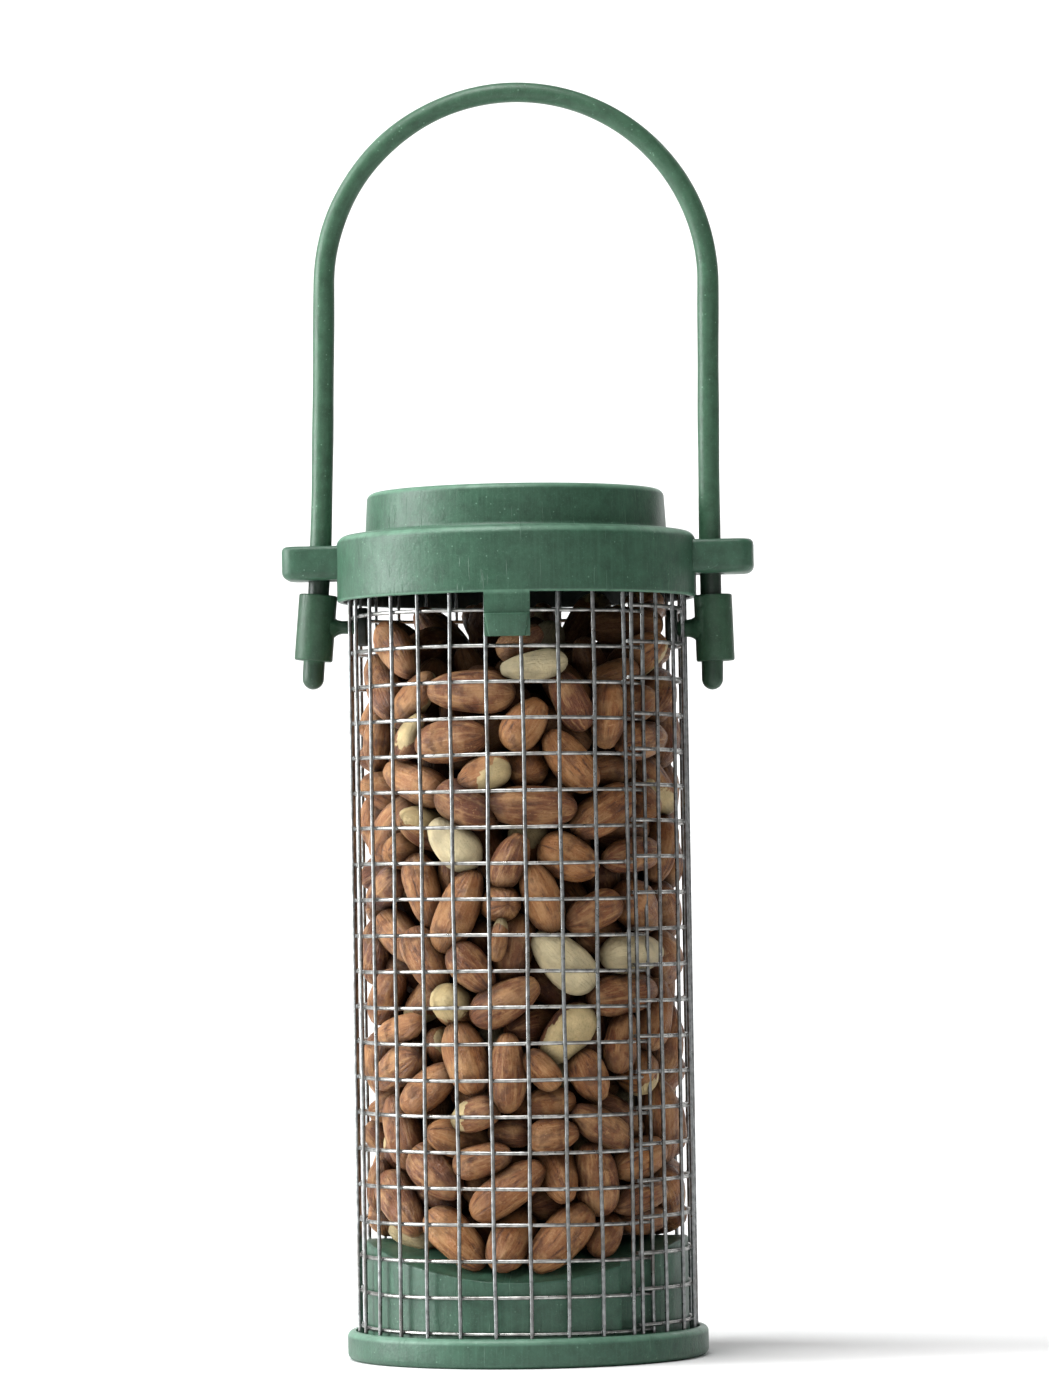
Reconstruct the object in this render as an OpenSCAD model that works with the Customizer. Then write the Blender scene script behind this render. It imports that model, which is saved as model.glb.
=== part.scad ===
// Hanging bird feeder: a tube of welded wire mesh on a moulded base, closed by a lid that
// slides up the legs of a wire bail. Millimetres, +Z up. The origin is the centre of the
// underside of the base, +X points to the right-hand lug and -Y to the front.

/* [Mesh tube] */
// Diameter of one galvanised wire
wire_d = 0.72; // [0.6:0.02:0.8]
// Distance between neighbouring wires, both ways
mesh_pitch = 6.35; // [6.3:0.01:6.4]
// Radius of the hoop wires' centre line
hoop_r = 29.6; // [29.5:0.1:29.7]
// Number of hoop wires
hoop_count = 22; // [20:1:22]
// Height of the lowest hoop wire
first_hoop_z = 5.85; // [5.7:0.05:6]
// Angle of the sheet's first edge wire from the front, towards +X
seam_angle = 45; // [44:1:46]
// How far the sheet's other edge is tucked inside the first
seam_tuck = 1.6; // [1.5:0.05:1.7]

/* [Base] */
// Outer radius of the foot
foot_r = 32.4; // [32:0.1:34]
// Height of the foot
foot_h = 5.2; // [4.8:0.1:5.2]
// Height of the ridge that sheds nuts to the front and back
ridge_z = 21.3; // [18:0.1:22]
// Radius of the ridged top, seen along X
vault_r = 67; // [55:1:90]
// Wall thickness of the base
base_wall = 1.8; // [1.4:0.1:2.4]

/* [Lid] */
// Height of the lid's lower edge
lid_z = 135.9; // [135:0.1:136.5]
// Outer radius of the skirt
skirt_r = 32.4; // [32.3:0.1:32.5]
// Height of the skirt
skirt_h = 11.9; // [11:0.1:13]
// Radius of the crown at its foot
crown_r = 27.2; // [24:0.1:28]
// Height of the crown above the skirt
crown_h = 7.6; // [5:0.1:10]
// Draft of the crown's side, in degrees
crown_draft = 3; // [2:0.5:8]
// Wall thickness of the lid
lid_wall = 1.15; // [1.05:0.05:1.2]
// Radius of the lid's rounded upper edges
lid_round = 1.4; // [1:0.1:1.8]

/* [Lid ears and thumb tab] */
// Height of the ears' underside
ear_z = 140; // [139.8:0.1:141]
// Thickness of an ear
ear_t = 6.1; // [4:0.1:6.2]
// Width of an ear
ear_w = 10.6; // [9:0.1:12]
// Distance from the axis to the end of an ear
ear_reach = 42.8; // [41:0.1:44]
// Width of the thumb tab
tab_w = 8.1; // [6:0.1:10]
// Height of the thumb tab's lower edge
tab_z = 128.1; // [126:0.1:129]
// Height of the lip on the thumb tab
lip_h = 4; // [3:0.1:5]
// How far the lip stands out of the skirt
lip_out = 1.4; // [1:0.1:2]

/* [Bail] */
// Diameter of the coated rod
rod_d = 3.8; // [3.6:0.1:4]
// Diameter of the steel core in the rod
core_d = 2.2; // [1.8:0.1:2.6]
// Distance from the axis to the centre line of each leg
leg_x = 35.5; // [35.4:0.1:35.6]
// Height of the arch's centre line at the top
arch_z = 227.9; // [226:0.1:240]
// Height of the bends below the ears
bend_z = 138.4; // [138.2:0.1:138.8]
// Height of the rounded ends of the legs
tip_z = 119; // [117:0.1:120]
// Outward lean of the left leg below its bend, in degrees
lean_left = 4; // [0:0.5:5]
// Outward lean of the right leg below its bend, in degrees
lean_right = 1; // [0:0.5:5]

/* [Lugs] */
// Outer diameter of a lug
lug_d = 6.9; // [6.5:0.1:7.2]
// Height of a lug's lower edge
lug_z = 124.5; // [124:0.1:125]
// Height of a lug
lug_h = 12.7; // [11:0.1:12.8]
// Diameter of the pivot that passes through the mesh
pivot_d = 2.4; // [2.2:0.1:2.6]
// Height of the pivot
pivot_z = 130.9; // [130.6:0.1:131.1]
// Radius of the retaining disc inside the mesh
retainer_r = 3.5; // [3.2:0.1:3.8]
// Thickness of the retaining disc
retainer_t = 2; // [1.5:0.1:2.4]

/* [Peanuts] */
// Length of one kernel
kernel_l = 14.5; // [13:0.1:14.8]
// Thickness of one kernel
kernel_d = 8.2; // [7.5:0.1:8.4]
// Height from one layer of kernels to the next
layer_pitch = 9.8; // [9.8:0.1:10]
// Number of layers
layer_count = 11; // [8:1:11]

/* [Hidden] */
plastic_green = "#47695a";
wire_grey = "#a9abad";
skin_brown = "#9a6b4d";
kernel_cream = "#d9cba6";
wire_r = wire_d / 2;
weld_gap = 0.02;
line_r = hoop_r + wire_d + weld_gap;
line_step = mesh_pitch / hoop_r * 180 / PI;
line_count = 31;
line_foot_z = 3.8;
line_tail = 2.9;
line_top_z = first_hoop_z + (hoop_count - 1) * mesh_pitch + line_tail;
hoop_end_overhang = 0.8;
plug_r = hoop_r - wire_r - 0.3;
groove_r = line_r + wire_r + 0.18;
groove_z = 3.6;
seam_floor_r = hoop_r - seam_tuck - wire_r - 0.2;
seam_margin = 2.5;
web_t = 1.8;
foot_round = 1.2;
running_fit = 0.08;
rod_r = rod_d / 2;
lid_edge_fillet = 0.8;
ear_corner = 2.6;
tab_taper = 0.6;
lip_slope = 0.7;
spring_z = arch_z - leg_x;
gusset_r = 2;
lug_relief = 0.25;
gusset_l = 1.9;
retainer_x = sqrt(pow(hoop_r - wire_r, 2) - pow(retainer_r, 2)) - 0.1;
bend_swell = 0.12;
outer_ring_r = 23.1;
outer_ring_count = 9;
inner_ring_r = 12.9;
inner_ring_count = 5;
fill_gap = 0.8;
retainer_clear_x = 16;
layer_twist = 5;
tilt_limit = 6;
tilt_seed = 5;
blanched_every = 13;
margin = 1;
$fn = 96;

// A point on a circle about the axis, at an angle from the front towards +X
function around(angle, r, z = 0) = [r * sin(angle), -r * cos(angle), z];

// Height of the base's ridged top at a distance y from the ridge
function vault_z(y, r = vault_r, top = ridge_z) = top - r + sqrt(r * r - y * y);

module straight_wire(from, to, d) {
    run = to - from;
    length = norm(run);
    translate(from)
        rotate([0, acos(run[2] / length), atan2(run[1], run[0])])
            cylinder(h = length, d = d, $fn = 24);
}

module wire_arc(start, sweep, r, d) {
    rotate([0, 0, start - 90])
        rotate_extrude(angle = sweep)
            translate([r, 0]) circle(d = d, $fn = 24);
}

module vault(r, top) {
    translate([-foot_r, 0, top - r])
        rotate([0, 90, 0])
            cylinder(h = 2 * foot_r, r = r, $fn = 180);
}

module foot_profile() {
    translate([plug_r - base_wall, 0])
        square([foot_r - foot_round - plug_r + base_wall, foot_h]);
    translate([plug_r, foot_round])
        square([foot_r - plug_r, foot_h - 2 * foot_round]);
    for (z = [foot_round, foot_h - foot_round])
        translate([foot_r - foot_round, z]) circle(r = foot_round);
}

module foot() {
    rotate_extrude()
        difference() {
            foot_profile();
            translate([plug_r - base_wall, groove_z])
                square([groove_r - plug_r + base_wall, foot_h]);
            translate([plug_r, -margin])
                square([foot_r - base_wall - plug_r, margin + groove_z - web_t]);
        }
}

// A sector of a ring behind the mesh's seam
module seam_sector(inner_r, outer_r, low_z) {
    start = seam_angle + (line_count - 2) * line_step - hoop_end_overhang - seam_margin;
    end = seam_angle + (line_count - 1) * line_step + hoop_end_overhang + seam_margin;
    rotate([0, 0, start - 90])
        rotate_extrude(angle = end - start)
            translate([inner_r, low_z]) square([outer_r - inner_r, ridge_z]);
}

module plug_hollow() {
    difference() {
        intersection() {
            translate([0, 0, -margin])
                cylinder(h = ridge_z, r = plug_r - base_wall);
            vault(vault_r - base_wall, ridge_z - base_wall);
        }
        seam_sector(seam_floor_r - base_wall, plug_r, -2 * margin);
    }
}

// The plug is cut back behind the seam, where the mesh's inner edge lies
module plug() {
    difference() {
        intersection() {
            cylinder(h = ridge_z, r = plug_r);
            vault(vault_r, ridge_z);
        }
        plug_hollow();
        seam_sector(seam_floor_r, plug_r + margin, groove_z);
    }
}

module base() {
    color(plastic_green)
        union() {
            foot();
            plug();
        }
}

module mesh_line_wires() {
    color(wire_grey)
        for (k = [0 : line_count - 1]) {
            angle = seam_angle + k * line_step;
            r = k < line_count - 1 ? line_r : line_r - seam_tuck;
            straight_wire(around(angle, r, line_foot_z), around(angle, r, line_top_z), wire_d);
        }
}

module hoop() {
    start = seam_angle - hoop_end_overhang;
    end = seam_angle + (line_count - 2) * line_step + hoop_end_overhang;
    wire_arc(start, end - start, hoop_r, wire_d);
}

// The sheet's inner edge, behind its outer one
module hoop_tail() {
    start = seam_angle + (line_count - 2) * line_step - hoop_end_overhang;
    end = seam_angle + (line_count - 1) * line_step + hoop_end_overhang;
    straight_wire(
        around(start, hoop_r - wire_d - weld_gap), around(end, hoop_r - seam_tuck), wire_d
    );
}

module mesh_hoop_wires() {
    color(wire_grey)
        for (k = [0 : hoop_count - 1])
            translate([0, 0, first_hoop_z + k * mesh_pitch]) {
                hoop();
                hoop_tail();
            }
}

module crown_profile() {
    draft = [cos(crown_draft), sin(crown_draft)];
    round_x = crown_r - crown_h * tan(crown_draft) - lid_round;
    round_z = skirt_h + crown_h - lid_round;
    polygon([
        [0, skirt_h - lid_wall],
        [crown_r, skirt_h - lid_wall],
        [crown_r, skirt_h],
        [round_x + lid_round * draft[0], round_z + lid_round * draft[1]],
        [round_x, skirt_h + crown_h],
        [0, skirt_h + crown_h]
    ]);
    translate([round_x, round_z]) circle(r = lid_round);
}

module crown_fillet_profile() {
    translate([crown_r - lid_wall / 2, skirt_h])
        difference() {
            square([lid_wall / 2 + lid_edge_fillet, lid_edge_fillet]);
            translate([lid_wall / 2 + lid_edge_fillet, lid_edge_fillet])
                circle(r = lid_edge_fillet);
        }
}

module lid_shell() {
    inner_crown_r = crown_r - crown_h * tan(crown_draft) - lid_wall;
    rotate_extrude()
        difference() {
            union() {
                square([skirt_r - lid_round, skirt_h]);
                square([skirt_r, skirt_h - lid_round]);
                translate([skirt_r - lid_round, skirt_h - lid_round]) circle(r = lid_round);
                crown_profile();
                crown_fillet_profile();
            }
            translate([0, -margin])
                square([skirt_r - lid_wall, skirt_h - lid_wall + margin]);
            square([inner_crown_r, skirt_h + crown_h - lid_wall]);
        }
}

module ear_plan() {
    inner_x = skirt_r - lid_wall / 2;
    translate([inner_x, -ear_w / 2])
        square([ear_reach - ear_corner - inner_x, ear_w]);
    translate([inner_x, -ear_w / 2 + ear_corner])
        square([ear_reach - inner_x, ear_w - 2 * ear_corner]);
    for (side = [-1, 1])
        translate([ear_reach - ear_corner, side * (ear_w / 2 - ear_corner)])
            circle(r = ear_corner);
}

module ear() {
    difference() {
        translate([0, 0, ear_z - lid_z]) linear_extrude(ear_t) ear_plan();
        translate([leg_x, 0, 0]) cylinder(h = skirt_h + crown_h, r = rod_r + running_fit);
        cylinder(h = skirt_h, r = skirt_r - lid_wall / 2);
    }
}

module tab_section() {
    foot = tab_z - lid_z;
    polygon([
        [skirt_r - lid_wall, foot],
        [skirt_r + lip_out - lip_slope, foot],
        [skirt_r + lip_out, foot + lip_h],
        [skirt_r, foot + lip_h],
        [skirt_r, margin],
        [skirt_r - lid_wall, margin]
    ]);
}

module tab_outline() {
    foot = tab_z - lid_z;
    polygon([
        [-tab_w / 2 + tab_taper, foot],
        [tab_w / 2 - tab_taper, foot],
        [tab_w / 2, foot + lip_h],
        [tab_w / 2, margin],
        [-tab_w / 2, margin],
        [-tab_w / 2, foot + lip_h]
    ]);
}

module thumb_tab() {
    intersection() {
        rotate_extrude() tab_section();
        rotate([90, 0, 0]) linear_extrude(skirt_r + lip_out + margin) tab_outline();
    }
}

// Room in the skirt's lower edge for the tops of the lugs
module lug_reliefs() {
    for (side = [-1, 1])
        translate([side * leg_x, 0, -margin])
            cylinder(
                h = lug_z + lug_h + lug_relief - lid_z + margin, d = lug_d + 2 * lug_relief
            );
}

module lid() {
    color(plastic_green)
        translate([0, 0, lid_z])
            difference() {
                union() {
                    lid_shell();
                    ear();
                    mirror([1, 0, 0]) ear();
                    thumb_tab();
                }
                lug_reliefs();
            }
}

// The end of a leg below its bend, leaning outwards in the plane of the bail
module leaning(lean) {
    translate([leg_x, 0, bend_z]) rotate([0, -lean, 0]) children();
}

module leg(lean, d, end_z) {
    translate([leg_x, 0, bend_z]) cylinder(h = spring_z - bend_z, d = d);
    translate([leg_x, 0, bend_z]) sphere(d = d + bend_swell);
    leaning(lean) translate([0, 0, end_z - bend_z]) cylinder(h = bend_z - end_z, d = d);
}

module bail_rod(d, end_z) {
    translate([0, 0, spring_z])
        rotate([90, 0, 0])
            rotate_extrude(angle = 180)
                translate([leg_x, 0]) circle(d = d);
    leg(lean_right, d, end_z);
    mirror([1, 0, 0]) leg(lean_left, d, end_z);
}

module rod_tip() {
    translate([0, 0, tip_z + rod_r - bend_z])
        rotate_extrude()
            intersection() {
                circle(r = rod_r);
                translate([0, -rod_r]) square(rod_r);
            }
}

module bail_sleeve() {
    color(plastic_green)
        difference() {
            union() {
                bail_rod(rod_d, tip_z + rod_r);
                leaning(lean_right) rod_tip();
                mirror([1, 0, 0]) leaning(lean_left) rod_tip();
            }
            bail_rod(core_d, tip_z + rod_r);
        }
}

module bail_core() {
    color(wire_grey) bail_rod(core_d, tip_z + rod_r);
}

module lug(lean) {
    pivot_end = retainer_x - retainer_t;
    difference() {
        union() {
            leaning(lean) translate([0, 0, lug_z - bend_z]) cylinder(h = lug_h, d = lug_d);
            translate([pivot_end, 0, pivot_z])
                rotate([0, 90, 0]) cylinder(h = leg_x - pivot_end, d = pivot_d);
            translate([leg_x - lug_d / 2 - gusset_l, 0, pivot_z])
                rotate([0, 90, 0])
                    cylinder(h = gusset_l + rod_r, r1 = pivot_d / 2, r2 = gusset_r + rod_r / 2);
        }
        leaning(lean)
            translate([0, 0, lug_z - bend_z - margin]) cylinder(h = lug_h + 2 * margin, d = rod_d);
    }
}

module lug_right() {
    color(plastic_green) lug(lean_right);
}

module lug_left() {
    color(plastic_green) mirror([1, 0, 0]) lug(lean_left);
}

module retainer() {
    translate([retainer_x - retainer_t, 0, pivot_z])
        rotate([0, 90, 0])
            difference() {
                cylinder(h = retainer_t, r = retainer_r);
                translate([0, 0, -margin]) cylinder(h = retainer_t + 2 * margin, d = pivot_d);
            }
}

module retainer_right() {
    color(plastic_green) retainer();
}

module retainer_left() {
    color(plastic_green) mirror([1, 0, 0]) retainer();
}

// A kernel lies along X, centred on the origin
module kernel() {
    half = (kernel_l - kernel_d) / 2;
    rotate([0, 90, 0]) cylinder(h = 2 * half, d = kernel_d, center = true, $fn = 48);
    for (side = [-1, 1])
        translate([side * half, 0, 0]) sphere(d = kernel_d, $fn = 48);
}

// Kernels stand in rings that follow the ridge of the base. Every so many of them, counted
// round each ring and up through the layers, has lost its skin.
module kernels(blanched) {
    tilts = rands(-tilt_limit, tilt_limit, layer_count * outer_ring_count, tilt_seed);
    for (ring = [[outer_ring_r, outer_ring_count], [inner_ring_r, inner_ring_count]])
        for (layer = [0 : layer_count - 1])
            for (j = [0 : ring[1] - 1]) {
                index = layer * ring[1] + j;
                angle = j * 360 / ring[1] + layer * layer_twist;
                place = around(angle, ring[0]);
                z = vault_z(place[1]) + fill_gap + kernel_d / 2 + layer * layer_pitch;
                clear = abs(place[0]) < retainer_clear_x || z + kernel_d < pivot_z - retainer_r;
                if (clear && (index % blanched_every == 0) == blanched)
                    translate([place[0], place[1], z])
                        rotate([0, 0, angle])
                            rotate([0, tilts[index], 0]) kernel();
            }
}

module skinned_peanuts() {
    color(skin_brown) kernels(false);
}

module blanched_peanuts() {
    color(kernel_cream) kernels(true);
}

base();
mesh_line_wires();
mesh_hoop_wires();
lid();
bail_sleeve();
bail_core();
lug_left();
lug_right();
retainer_left();
retainer_right();
skinned_peanuts();
blanched_peanuts();
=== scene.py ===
"""The looks of a hanging wire-mesh bird feeder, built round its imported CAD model.

Shapes are laid out in millimetres and turned into metres by new_piece() and combine(). An angle
round the tube is counted from the front (-Y) towards +X.
"""

import math

import bmesh
import bpy
import numpy as np
from mathutils import Matrix, Vector


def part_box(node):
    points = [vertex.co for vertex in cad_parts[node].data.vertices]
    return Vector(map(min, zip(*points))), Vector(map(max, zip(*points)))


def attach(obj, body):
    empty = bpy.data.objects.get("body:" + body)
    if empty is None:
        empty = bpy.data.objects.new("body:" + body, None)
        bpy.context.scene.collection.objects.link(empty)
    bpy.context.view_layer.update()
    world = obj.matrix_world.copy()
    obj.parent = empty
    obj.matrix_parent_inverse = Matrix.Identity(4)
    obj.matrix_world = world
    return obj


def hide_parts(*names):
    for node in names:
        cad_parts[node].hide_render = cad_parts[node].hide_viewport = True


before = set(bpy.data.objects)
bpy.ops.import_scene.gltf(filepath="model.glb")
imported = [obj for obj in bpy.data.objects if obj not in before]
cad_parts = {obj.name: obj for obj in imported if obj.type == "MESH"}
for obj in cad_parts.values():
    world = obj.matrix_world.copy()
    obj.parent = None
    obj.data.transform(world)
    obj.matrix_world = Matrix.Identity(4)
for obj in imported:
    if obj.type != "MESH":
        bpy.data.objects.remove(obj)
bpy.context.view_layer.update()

# ---------------- sizes, in millimetres

MM = 0.001
# Vertices closer than this, in millimetres, are merged where a turned profile closes
WELD = 0.001


def box_mm(node):
    """The lowest and highest corners of a CAD node, in millimetres."""
    low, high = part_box(node)
    return Vector(low) / MM, Vector(high) / MM


_, BASE_HIGH = box_mm("base")
LINES_LOW, LINES_HIGH = box_mm("mesh_line_wires")
HOOPS_LOW, HOOPS_HIGH = box_mm("mesh_hoop_wires")
LID_LOW, LID_HIGH = box_mm("lid")
BAIL_LOW, BAIL_HIGH = box_mm("bail_sleeve")
DISC_LOW, DISC_HIGH = box_mm("retainer_right")

WIRE_R = 0.36
ROD_R = (BAIL_HIGH.y - BAIL_LOW.y) / 2
HOOP_R = HOOPS_HIGH.y - WIRE_R
LINE_R = HOOP_R + 2 * WIRE_R - 0.06
HOOP_COUNT = 22
LINE_COUNT = 31
HOOP_FIRST_Z = HOOPS_LOW.z + WIRE_R
HOOP_PITCH = (HOOPS_HIGH.z - HOOPS_LOW.z - 2 * WIRE_R) / (HOOP_COUNT - 1)
LINE_STEP = math.degrees(HOOP_PITCH / HOOP_R)
SEAM_ANGLE = 45.0
SEAM_TUCK = 1.6
SEAM_LIFT = 1.1

FOOT_R = BASE_HIGH.x
FOOT_H = 5.2
PLUG_R = 28.94
RIDGE_Z = BASE_HIGH.z
VAULT_R = 67.0
BASE_WALL = 1.8
GROOVE_R = 30.88
GROOVE_Z = 3.6
SEAM_FLOOR_R = HOOP_R - SEAM_TUCK - WIRE_R - 0.2

SKIRT_R = 32.4
SKIRT_LOW_Z = 135.9
SHOULDER_Z = 147.8
CROWN_R = 27.2
CROWN_DRAFT = 3.0
CROWN_ROUND = 1.3
SHOULDER_ROUND = 1.9
CROWN_TOP_Z = LID_HIGH.z
LID_WALL = 1.15
EAR_REACH = {"left": 42.2, "right": LID_HIGH.x}
EAR_LOW_Z = 140.0
EAR_HIGH_Z = 146.1
EAR_WIDTH = 10.6
TAB_LOW_Z = LID_LOW.z
LIP_TOP_Z = TAB_LOW_Z + 4.0
TAB_WIDTH = 8.1

ARCH_R = 34.75
ARCH_TOP_Z = BAIL_HIGH.z - ROD_R
SPRING_Z = ARCH_TOP_Z - ARCH_R
TIP_Z = BAIL_LOW.z + 0.75
# Distance of each leg from the bail's own middle line, at heights from its tip upwards
LEG_LINE = {
    "left": [(119.0, 36.55), (123, 36.45), (128, 36.1), (132, 35.85), (138, 35.5), (145, 35.2)],
    "right": [(119.0, 35.65), (123, 35.62), (128, 35.55), (132, 35.45), (138, 35.3), (145, 35.15)],
}
LEG_UPPER = [(152, 35.02), (162, 34.9), (172, 34.82), (182, 34.77)]
LUG_LOW_Z = 124.9
LUG_H = 12.0
LUG_R = 3.45
# Distance from the middle line at a lug's lower and upper end
LUG_LINE = {"left": (36.45, 35.6), "right": (36.2, 35.65)}
# The bail hangs a little askew on the tube: its shift and turn about the pivots
HANG_SHIFT = -0.42
HANG_TURN = 1.0
PIVOT_R = 1.2
PIVOT_Z = (DISC_LOW.z + DISC_HIGH.z) / 2
DISC_R = (DISC_HIGH.z - DISC_LOW.z) / 2

SIGN = {"left": -1, "right": 1}
LEG_R = 1.97
ARCH_ROD_R = 1.8
CORE_R = 1.1
SLOT_R = 2.15
LID_TRAVEL = 45.0
PIN_BOSS_R = {"left": 1.2, "right": 1.55}

VIEW_ANGLE = 3.2

# Sides of the round tubes, and points along each wire
ROD_SIDES = 32
CORE_SIDES = 16
WIRE_SIDES = 10
LUG_SIDES = 72
HOOP_POINTS = 241
LINE_POINTS = 90

# Faces that meet at less than this many degrees are shaded as one surface
SMOOTH_BASE = 38.0
SMOOTH_LID = 32.0
SMOOTH_LUG = 35.0
SMOOTH_WIRE = 60.0
SMOOTH_ALL = 180.0


def vault_z(y, radius=VAULT_R, top=RIDGE_Z):
    """Height of the base's ridged top at a distance y from the ridge."""
    return top - radius + math.sqrt(radius * radius - y * y)


def around(angle, radius, z):
    """The point at an angle round the tube, in degrees from the front towards +X."""
    a = math.radians(angle)
    return Vector((radius * math.sin(a), -radius * math.cos(a), z))


# ---------------- mesh building


def plain_mesh(name, vertices, faces, scale=1.0):
    """A mesh of the vertices, each times scale."""
    mesh = bpy.data.meshes.new(name)
    mesh.from_pydata([tuple(Vector(v) * scale) for v in vertices], [], faces)
    return mesh


def turn_outwards(mesh, weld=0.0):
    """Merges vertices closer than weld, then turns every face outwards."""
    work = bmesh.new()
    work.from_mesh(mesh)
    if weld:
        bmesh.ops.remove_doubles(work, verts=work.verts, dist=weld)
    bmesh.ops.recalc_face_normals(work, faces=work.faces)
    work.to_mesh(mesh)
    work.free()
    mesh.update()


def new_piece(name, vertices, faces, body, node, slot, material, smooth):
    """Makes a piece from vertices in millimetres. It rides on body and replaces node."""
    mesh = plain_mesh(name, vertices, faces, MM)
    return finish_piece(name, mesh, body, node, slot, material, smooth)


def finish_piece(name, mesh, body, node, slot, material, smooth):
    """Puts a mesh in metres in the scene as a piece with outward faces and smooth shading."""
    turn_outwards(mesh)
    mesh.shade_smooth()
    mesh.set_sharp_from_angle(angle=math.radians(smooth))
    mesh.materials.clear()
    mesh.materials.append(material)
    piece = bpy.data.objects.new(name, mesh)
    bpy.context.scene.collection.objects.link(piece)
    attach(piece, body)
    if node:
        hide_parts(node)
    return piece


def loose_object(vertices, faces, weld=0.0):
    """A plain object in millimetres, for a boolean."""
    mesh = plain_mesh("tool", vertices, faces)
    turn_outwards(mesh, weld)
    tool = bpy.data.objects.new("tool", mesh)
    bpy.context.scene.collection.objects.link(tool)
    return tool


def combine(body, tools):
    """Adds or cuts each (operation, object) into body and returns the mesh, in metres."""
    for operation, tool in tools:
        modifier = body.modifiers.new("boolean", "BOOLEAN")
        modifier.operation = operation
        modifier.solver = "EXACT"
        modifier.object = tool
    bpy.context.view_layer.update()
    evaluated = body.evaluated_get(bpy.context.evaluated_depsgraph_get())
    mesh = bpy.data.meshes.new_from_object(evaluated)
    for item in [body] + [tool for _, tool in tools]:
        data = item.data
        bpy.data.objects.remove(item)
        bpy.data.meshes.remove(data)
    mesh.transform(Matrix.Scale(MM, 4))
    return mesh


def arc(centre, radius, start, end, steps):
    """Points (r, z) along an arc, angles in degrees."""
    points = []
    for i in range(steps + 1):
        a = math.radians(start + (end - start) * i / steps)
        points.append((centre[0] + radius * math.cos(a), centre[1] + radius * math.sin(a)))
    return points


def line(start, end, steps):
    """Points between two (r, z) points, without the first."""
    return [
        tuple(a + (b - a) * i / steps for a, b in zip(start, end))
        for i in range(1, steps + 1)
    ]


def polar_shell(rings, angles):
    """A closed surface of rings about the axis. Each ring is a function of the angle giving
    (r, z). A first or last ring that is a plain number is a point on the axis at that height.
    """
    vertices, faces = [], []
    previous = None
    count = len(angles)
    for ring in rings:
        if isinstance(ring, (int, float)):
            vertices.append((0.0, 0.0, ring))
            current = [len(vertices) - 1]
        else:
            current = list(range(len(vertices), len(vertices) + count))
            for angle in angles:
                r, z = ring(angle)
                vertices.append(tuple(around(angle, r, z)))
        if previous:
            for i in range(count):
                j = (i + 1) % count
                if len(previous) == 1:
                    faces.append((previous[0], current[i], current[j]))
                elif len(current) == 1:
                    faces.append((previous[i], current[0], previous[j]))
                else:
                    faces.append((previous[i], current[i], current[j], previous[j]))
        previous = current
    return vertices, faces


def fixed_ring(point):
    return lambda angle: point


def even_angles(count):
    return [360.0 * i / count for i in range(count)]


def stack_faces(layers, count, start=0):
    """Faces round layers of count points each, the first at start, closed at both ends."""
    faces = []
    for layer in range(layers - 1):
        low = start + layer * count
        high = low + count
        for k in range(count):
            n = (k + 1) % count
            faces.append((low + k, low + n, high + n, high + k))
    last = start + (layers - 1) * count
    faces.append(tuple(range(start + count - 1, start - 1, -1)))
    faces.append(tuple(range(last, last + count)))
    return faces


def tube_along(points, radii, sides):
    """A round tube along points, closed at both ends, with a radius for each point."""
    points = [Vector(p) for p in points]
    vertices = []
    side = None
    for i, point in enumerate(points):
        ahead = points[min(i + 1, len(points) - 1)] - points[max(i - 1, 0)]
        ahead.normalize()
        if side is None:
            side = ahead.orthogonal().normalized()
        side = (side - ahead * side.dot(ahead)).normalized()
        other = ahead.cross(side)
        for k in range(sides):
            a = 2 * math.pi * k / sides
            offset = side * math.cos(a) + other * math.sin(a)
            vertices.append(tuple(point + offset * radii[i]))
    return vertices, stack_faces(len(points), sides)


def turned_object(profile, sides, place):
    """A closed (r, z) profile turned about the axis, each vertex moved by place."""
    rings = [fixed_ring(point) for point in profile + profile[:1]]
    vertices, faces = polar_shell(rings, even_angles(sides))
    return loose_object([place(Vector(v)) for v in vertices], faces, WELD)


def gather(parts):
    """Joins lists of (vertices, faces) into one."""
    vertices, faces = [], []
    for part_vertices, part_faces in parts:
        start = len(vertices)
        vertices.extend(part_vertices)
        faces.extend(tuple(start + i for i in face) for face in part_faces)
    return vertices, faces


# ---------------- materials


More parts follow.
